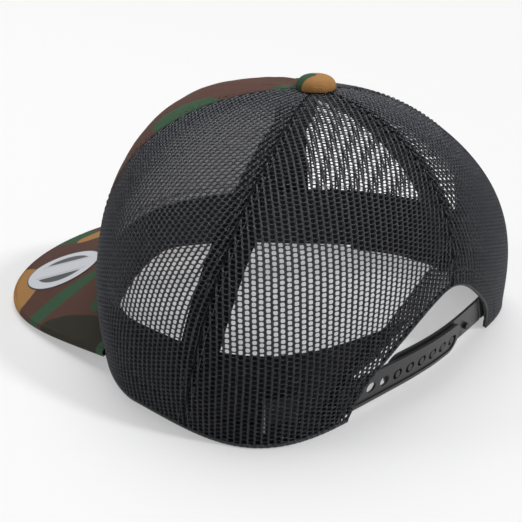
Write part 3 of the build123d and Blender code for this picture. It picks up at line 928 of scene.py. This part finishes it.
def band_grid(rows, columns, inset):
    """Angles and heights of the sweatband's grid, from its left end round the front to its right end."""
    beside_tabs, above_tabs = (arch_line(margin)[:121] for margin in (7.0, 2.0))
    v = np.linspace(0, 1, rows)
    u = np.linspace(-1, 1, columns)
    angle = np.zeros((rows, columns))
    z = np.zeros((rows, columns))
    ends = np.full(rows, 140.0)
    for _ in range(6):
        angle = ends[:, None] * u[None]
        p = crown(angle, np.maximum(z, 1.0), inset)
        ahead = TEMPLE_Y - p[..., 1]
        rise = np.clip(ahead / 3.0 + 0.5, 0, 1)
        hang = 3.0 + 7.0 * np.clip(1 - np.abs(p[0, :, 0]) / 62, 0, 1)
        low = 0.6 + rise * (np.clip(visor_top(p[0, :, 0], p[0, :, 1], -1.2), 0.6, hang)[None] - 0.6)
        z = low + (band_top(p[..., 1]) - low) * v[:, None]
        end_z = z[:, -1]
        clear = np.clip((end_z - TAB_TOP) / 2.0, 0, 1)
        wide = np.interp(end_z, beside_tabs[:, 1], beside_tabs[:, 0])
        close = np.interp(end_z, above_tabs[:, 1], above_tabs[:, 0])
        ends = x_angle(wide + (close - wide) * clear, end_z, inset)
    return angle, z


angle, z = band_grid(26, 360, 3.3)
rows, columns = angle.shape
v = np.linspace(0, 1, rows)[:, None]
wrinkle = smooth_noise(angle.shape, (5, 60), 8, 0.22) + smooth_noise(angle.shape, (3, 150), 9, 0.1)
roll = 0.55 * np.exp(-(((v - 0.94) / 0.05) ** 2)) + 0.3 * np.exp(-(((v - 0.06) / 0.05) ** 2))
inner = 4.5 + roll + np.maximum(wrinkle, -0.3)
sweatband = shell("sweatband_cloth", angle, z, 3.35 + 0 * angle, inner, band_material, edge=0.9)
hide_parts("sweatband")

# a folded tape along the rim, from the visor's end to the opening
rows, columns = 12, 150
z = np.linspace(0.3, 8.5, rows)[:, None] * np.ones((1, columns))
half = arch_line(2.0)[:121]
end = x_angle(np.interp(z[:, 0], half[:, 1], half[:, 0]), z[:, 0], 2.0)
angle = 72.0 + (end[:, None] - 72.0) * np.linspace(0, 1, columns)[None]
outer = 1.3 + 0.7 * np.clip((z - 1) / 4, 0, 1)
inner = 2.55 + smooth_noise(angle.shape, (3, 40), 12, 0.08)
rim_left = shell("rim_tape_left", angle, z, outer, inner, tape_material, edge=0.5)
rim_right = mirrored(rim_left, "rim_tape_right")

end = float(x_angle(ARCH_EDGE[0][0] + 0.5, np.array([0.8]))[0])
angle = np.linspace(70.0, end, 260)
path, normals = crown(angle, 0.85, 0.75), surface_normal(angle, 1.0)
bumps = 0.07 * np.sin(np.arange(260) * 2.1)
roll_left = tube("rim_roll_left", path, normals, np.stack([0.78 + bumps, 0.7 + bumps], -1), net_material, 10)
mirrored(roll_left, "rim_roll_right")

pad_seams = ((-30.0, -30.0), (30.0, 30.0))
angle, z = gore_grid(pad_seams[0], pad_seams[1], 20, 50, on_visor(0.4), 36.0)
forehead_pad = shell("forehead_padding", angle, z, 1.95, 3.15, lining_material, edge=2.0)
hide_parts("forehead_pad")

# ---------------------------------------------------------------- visor
def visor_plan(t, out):
    """Plan points of the visor's outline at t from -1 (wearer's right) round the tip to 1, moved outwards."""
    turn = (1 - np.abs(t)) * np.pi / 2
    edge, depth = VISOR_HALF_WIDTH + out, TEMPLE_Y - TIP_Y + out
    x = edge * np.cos(turn) ** (2 / VISOR_POWERS[0])
    return np.sign(t) * x, TEMPLE_Y - depth * np.sin(turn) ** (2 / VISOR_POWERS[1])


def root_curve(t, above):
    """Where the visor meets the crown, at t, for a surface that far above its underside."""
    angle = t * 73.5
    z = np.full(t.shape, 12.0)
    for _ in range(30):
        p = crown(angle, np.maximum(z, 0.0), 2.6)
        z = visor_top(p[..., 0], p[..., 1], above)
    return p[..., 0], p[..., 1]


def outline_steps(count):
    """Outline parameters spread evenly along the visor's edge."""
    t = np.linspace(-1, 1, 4001)
    x, y = visor_plan(t, 0)
    length = np.concatenate([[0], np.cumsum(np.hypot(np.diff(x), np.diff(y)))])
    return np.interp(np.linspace(0, length[-1], count), length, t), np.linspace(-1, 1, count)


def visor_layer(name, material, above, profile, columns=200, rows=34, ripple=0.0):
    """A cloth of the visor from its root out to the edge, then along a profile of (out, up) steps."""
    t, u = outline_steps(columns)
    rx, ry = root_curve(u, above)
    ex, ey = visor_plan(t, profile[0][0])
    share = np.linspace(0, 1, rows)[:, None]
    x, y = rx + (ex - rx) * share, ry + (ey - ry) * share
    z = visor_top(x, y, above)
    if ripple:
        edge = np.clip((1 - share) * 14, 0, 1) * np.clip(share * 10, 0, 1)
        z = z + smooth_noise(z.shape, (9, 30), 21, ripple) * edge
        z = z - 0.22 * np.exp(-(((share - 0.93) / 0.012) ** 2)) * np.ones_like(z)
    for out, up in profile:
        px, py = visor_plan(t, out)
        x, y = np.concatenate([x, px[None]]), np.concatenate([y, py[None]])
        z = np.concatenate([z, visor_top(px, py, up)[None]])
    points = np.stack([x, y, z], -1)
    faces = grid_faces(points.shape[0], columns)
    return make_mesh(name, points.reshape(-1, 3), faces, material, points[..., :2].reshape(-1, 2))


turns = np.linspace(0, np.pi, 11)
edge_roll = [(-0.9 + 0.95 * math.sin(a), 1.85 + 1.6 * math.cos(a)) for a in turns]
visor_cloth = visor_layer("visor_cloth", camo_visor, 3.42, edge_roll, ripple=0.06)
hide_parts("visor_top_cover", "visor_board")
visor_lining = visor_layer("visor_under_cloth", camo_visor, 0.2, [(-1.0, 0.25)], ripple=0.03)
visor_lining.data.flip_normals()
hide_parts("visor_under_cover")

# the round sticker, laid over the visor's curve
STICKER_RADIUS, STICKER_PLACE = 18.0, (52.8, -97.8)
decal = new_material("sticker_foil", (0.72, 0.74, 0.77), 0.32, Metallic=0.25)
place = cloth_coordinates(decal)
spread = node(decal, "ShaderNodeVectorMath", operation="LENGTH")
link(decal, place, spread.inputs[0])
radial = spread.outputs["Value"]
color = mix_color(decal, 0.0, (0.72, 0.74, 0.78), (0.72, 0.74, 0.78))


def ring_mask(material, value, low, high, soft):
    rise = step(material, value, low, soft)
    fall = math_node(material, "SUBTRACT", 1.0, step(material, value, high, soft))
    return times(material, rise, fall)


split = node(decal, "ShaderNodeSeparateXYZ")
link(decal, place, split.inputs[0])
across = math_node(decal, "ABSOLUTE", split.outputs[0])
inside = math_node(decal, "SUBTRACT", 1.0, step(decal, radial, 0.0126, 0.0003))
lens = times(decal, inside, step(decal, across, 0.0068, 0.0003))
lines = math_node(decal, "SINE", times(decal, split.outputs[0], 2 * math.pi / 0.0011))
lined_part = ring_mask(decal, across, 0.0046, 0.0064, 0.0003)
lines = times(decal, step(decal, lines, 0.55, 0.3), lined_part)
outside = step(decal, radial, 0.0138, 0.0003)
lines = times(decal, lines, math_node(decal, "SUBTRACT", 1.0, outside))
color = mix_color(decal, times(decal, lines, 0.6), color, (0.2, 0.2, 0.21))
color = mix_color(decal, lens, color, (0.10, 0.105, 0.115))
rim = step(decal, radial, 0.0174, 0.0002)
color = mix_color(decal, rim, color, (0.05, 0.052, 0.056))
paint(decal, color)
dents = noise(decal, object_coordinates(decal), 30, 2, 0.5)
add_bump(decal, dents, 0.0006, 0.25)
rings, spokes = 26, 96
radius = np.linspace(0, STICKER_RADIUS, rings)[:, None]
turn = np.linspace(0, 2 * np.pi, spokes, endpoint=False)[None]
sx, sy = radius * np.cos(turn), radius * np.sin(turn)
x, y = STICKER_PLACE[0] + sx * 0.96, STICKER_PLACE[1] + sy * 0.98
top = np.stack([x, y, visor_top(x, y, 3.74)], -1)
low = top[-1:] - [0, 0, 0.3]
points = np.concatenate([top, low]).reshape(-1, 3)
twist = math.radians(-35)
uv = np.stack([sx * math.cos(twist) - sy * math.sin(twist), sx * math.sin(twist) + sy * math.cos(twist)], -1)
uv = np.concatenate([uv, uv[-1:]]).reshape(-1, 2)
sticker = make_mesh("sticker_disc", points, grid_faces(rings + 1, spokes, closed=True), decal, uv)
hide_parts("visor_sticker")

# ---------------------------------------------------------------- button
BUTTON_RADIUS, BUTTON_HEIGHT, BUTTON_SEAT = 8.0, 5.6, 106.23
angles = np.linspace(0, 2 * np.pi, 96, endpoint=False)[None]
climb = np.linspace(0, np.pi / 2, 26)[:, None]
radius = BUTTON_RADIUS * np.cos(climb) ** 0.62
height = 1.3 + (BUTTON_HEIGHT - 1.3) * np.sin(climb) ** 1.15
fold = 0.14 * np.sin(angles * 13 + np.sin(angles * 3)) * np.cos(climb) ** 4
out = radius + fold
points = np.stack(
    [out * np.cos(angles), APEX_Y + out * np.sin(angles), BUTTON_SEAT + height + 0 * angles], -1
)
lower = []
for r, h in ((7.6, -0.15), (7.95, 0.35)):
    out, turn = r + fold[0], angles[0]
    ring = np.stack([out * np.cos(turn), APEX_Y + out * np.sin(turn), BUTTON_SEAT + h + 0 * turn], -1)
    lower.append(ring[None])
points = np.concatenate(lower + [points])
uv = points[..., :2].reshape(-1, 2)
faces = grid_faces(len(points), 96, closed=True)
button = make_mesh("button_cover", points.reshape(-1, 3), faces, camo_button, uv)
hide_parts("button_cap")

# ---------------------------------------------------------------- topstitching
def seam_stitches(name, seam, shift, low, high, material, inset=-0.05):
    z = low + (high - low) * np.sin(np.linspace(0, np.pi / 2, 200))
    path = crown(seam_angle(seam, z, shift), z, inset)
    row = stitch_row(name, path, crown_normal_at, material, pitch=2.9, radius=0.2, lift=0.08)
    return row


lowest, highest = rim_floor(FRONT_SEAM) + 1, CROWN_HEIGHT * 0.98
front_row = seam_stitches("front_stitches_left", FRONT_SEAM, -2.2, lowest, CROWN_HEIGHT * 0.985, camo_thread)
mirrored(front_row, "front_stitches_right")
for shift in (-2.4, 2.4):
    side = "ahead" if shift < 0 else "behind"
    row = seam_stitches(f"side_stitches_{side}_left", SIDE_SEAM, shift, 2.0, highest, thread_material, -0.1)
    mirrored(row, f"side_stitches_{side}_right")
    above_arch = ARCH_EDGE[-1][1] + 3
    seam_stitches(f"back_stitches_{side}", BACK_SEAM, shift, above_arch, highest, thread_material, -0.1)
path, _ = arch_path(7.5, -0.1, 300)
stitch_row("arch_stitches", path, crown_normal_at, thread_material, pitch=2.8, radius=0.2, lift=0.08)


# ---------------------------------------------------------------- the flat cut sizes and pattern areas of the soft pieces
def cloth_plan(piece):
    """A piece's points in its own flat cloth coordinates, one per corner of each face."""
    flat = np.zeros(len(piece.data.loops) * 2)
    piece.data.uv_layers["cloth"].data.foreach_get("uv", flat)
    return flat.reshape(-1, 2)


def cut_size(piece):
    plan = cloth_plan(piece)
    return tuple(float(v) for v in plan.max(0) - plan.min(0))


def pattern_area(piece):
    """The area of a two-faced shell's flat pattern, which both of its faces share."""
    plan = cloth_plan(piece)
    total = 0.0
    for face in piece.data.polygons:
        x, y = plan[face.loop_start : face.loop_start + face.loop_total].T
        total += abs(x @ np.roll(y, -1) - y @ np.roll(x, -1)) / 2
    return total / 2


def declare_sheet(piece, area):
    width, length = cut_size(piece)


declare_sheet(side_net_left, cut_area["side_net_left"])
declare_sheet(side_net_right, cut_area["side_net_left"])
back_area = cut_area["back_net_left"]
declare_sheet(back_net_left, back_area)
declare_sheet(back_net_right, back_area)
declare_sheet(front_cloth, pattern_area(front_cloth))
declare_sheet(front_lining, pattern_area(front_lining))
for name, panels in (
    ("tape_front_left", ["front_cloth", "side_net_left"]),
    ("tape_front_right", ["front_cloth", "side_net_right"]),
    ("tape_side_left", ["side_net_left", "back_net_left"]),
    ("tape_side_right", ["side_net_right", "back_net_right"]),
    ("tape_back", ["back_net_left", "back_net_right"]),
):
    declare_sheet(bpy.data.objects[name], pattern_area(bpy.data.objects[name]))


# ---------------------------------------------------------------- camera, floor and light
floor_mesh = bpy.data.meshes.new("floor")
floor_mesh.from_pydata([(-4, -4, 0), (4, -4, 0), (4, 4, 0), (-4, 4, 0)], [], [(0, 1, 2, 3)])
floor = put("floor", floor_mesh)
floor.location.z = -0.0002
floor_material = new_material("pale_floor", (0.46, 0.46, 0.46), 0.9, Specular_IOR_Level=0.0)
shader_of(floor_material).inputs["Emission Color"].default_value = (1, 1, 1, 1)
shader_of(floor_material).inputs["Emission Strength"].default_value = 0.36
floor_mesh.materials.append(floor_material)

AZIMUTH, ELEVATION, DISTANCE = math.radians(132.388), math.radians(23.775), 398.66
AIM, SLIDE, LIFT = Vector((0, -10, 55)), -7.09, -27.32
level = math.cos(ELEVATION)
back = Vector((math.sin(AZIMUTH) * level, -math.cos(AZIMUTH) * level, math.sin(ELEVATION)))
right = Vector((math.cos(AZIMUTH), math.sin(AZIMUTH), 0))
up = back.cross(right)
camera_data = bpy.data.cameras.new("camera")
camera_data.sensor_width = 36
camera_data.lens = 918.14 * 36 / 522
camera = put("camera", camera_data)
camera.matrix_world = Matrix.Translation((AIM + right * SLIDE + up * LIFT + back * DISTANCE) * MM) @ Matrix(
    (right, up, back)
).transposed().to_4x4()
bpy.context.scene.camera = camera

world = bpy.data.worlds.new("studio")
world.use_nodes = True
world.node_tree.nodes["Background"].inputs[0].default_value = (1, 1, 1, 1)
world.node_tree.nodes["Background"].inputs[1].default_value = 0.24
bpy.context.scene.world = world
bpy.context.scene.view_settings.view_transform = "Standard"


def softbox(name, place, size, power, target=(0, -0.02, 0.05)):
    data = bpy.data.lights.new(name, "AREA")
    data.shape = "RECTANGLE"
    data.size, data.size_y = size
    data.energy = power
    lamp = put(name, data)
    lamp.location = place
    lamp.rotation_euler = (Vector(target) - Vector(place)).to_track_quat("-Z", "Y").to_euler()


softbox("left_light", (0.9, -0.9, 0.7), (0.4, 0.4), 3)


def sunlight(name, source, strength, spread):
    data = bpy.data.lights.new(name, "SUN")
    data.energy = strength
    data.angle = math.radians(spread)
    lamp = put(name, data)
    lamp.rotation_euler = Vector(source).to_track_quat("Z", "Y").to_euler()


sunlight("key_light", (-0.35, -0.3, 1.0), 2.2, 50)
sunlight("glint_light", (-0.35, 0.75, 0.75), 1.7, 7)

# ---------------------------------------------------------------- bodies
for name, material in (
    ("size_label", label_material),
    ("button_prong", steel_material),
    ("button_washer", steel_material),
):
    frame["nodes"][name].data.materials.clear()
    frame["nodes"][name].data.materials.append(material)
for name in ("strap_outer", "strap_inner", "strap_tab_left", "strap_tab_right"):
    frame["nodes"][name].data.materials.clear()
    frame["nodes"][name].data.materials.append(strap_material)

cad = set(frame["nodes"].values())
for piece in list(bpy.context.scene.objects):
    if piece.type == "MESH" and piece not in cad and piece is not floor and "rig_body" not in piece:
        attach(piece, "cap")
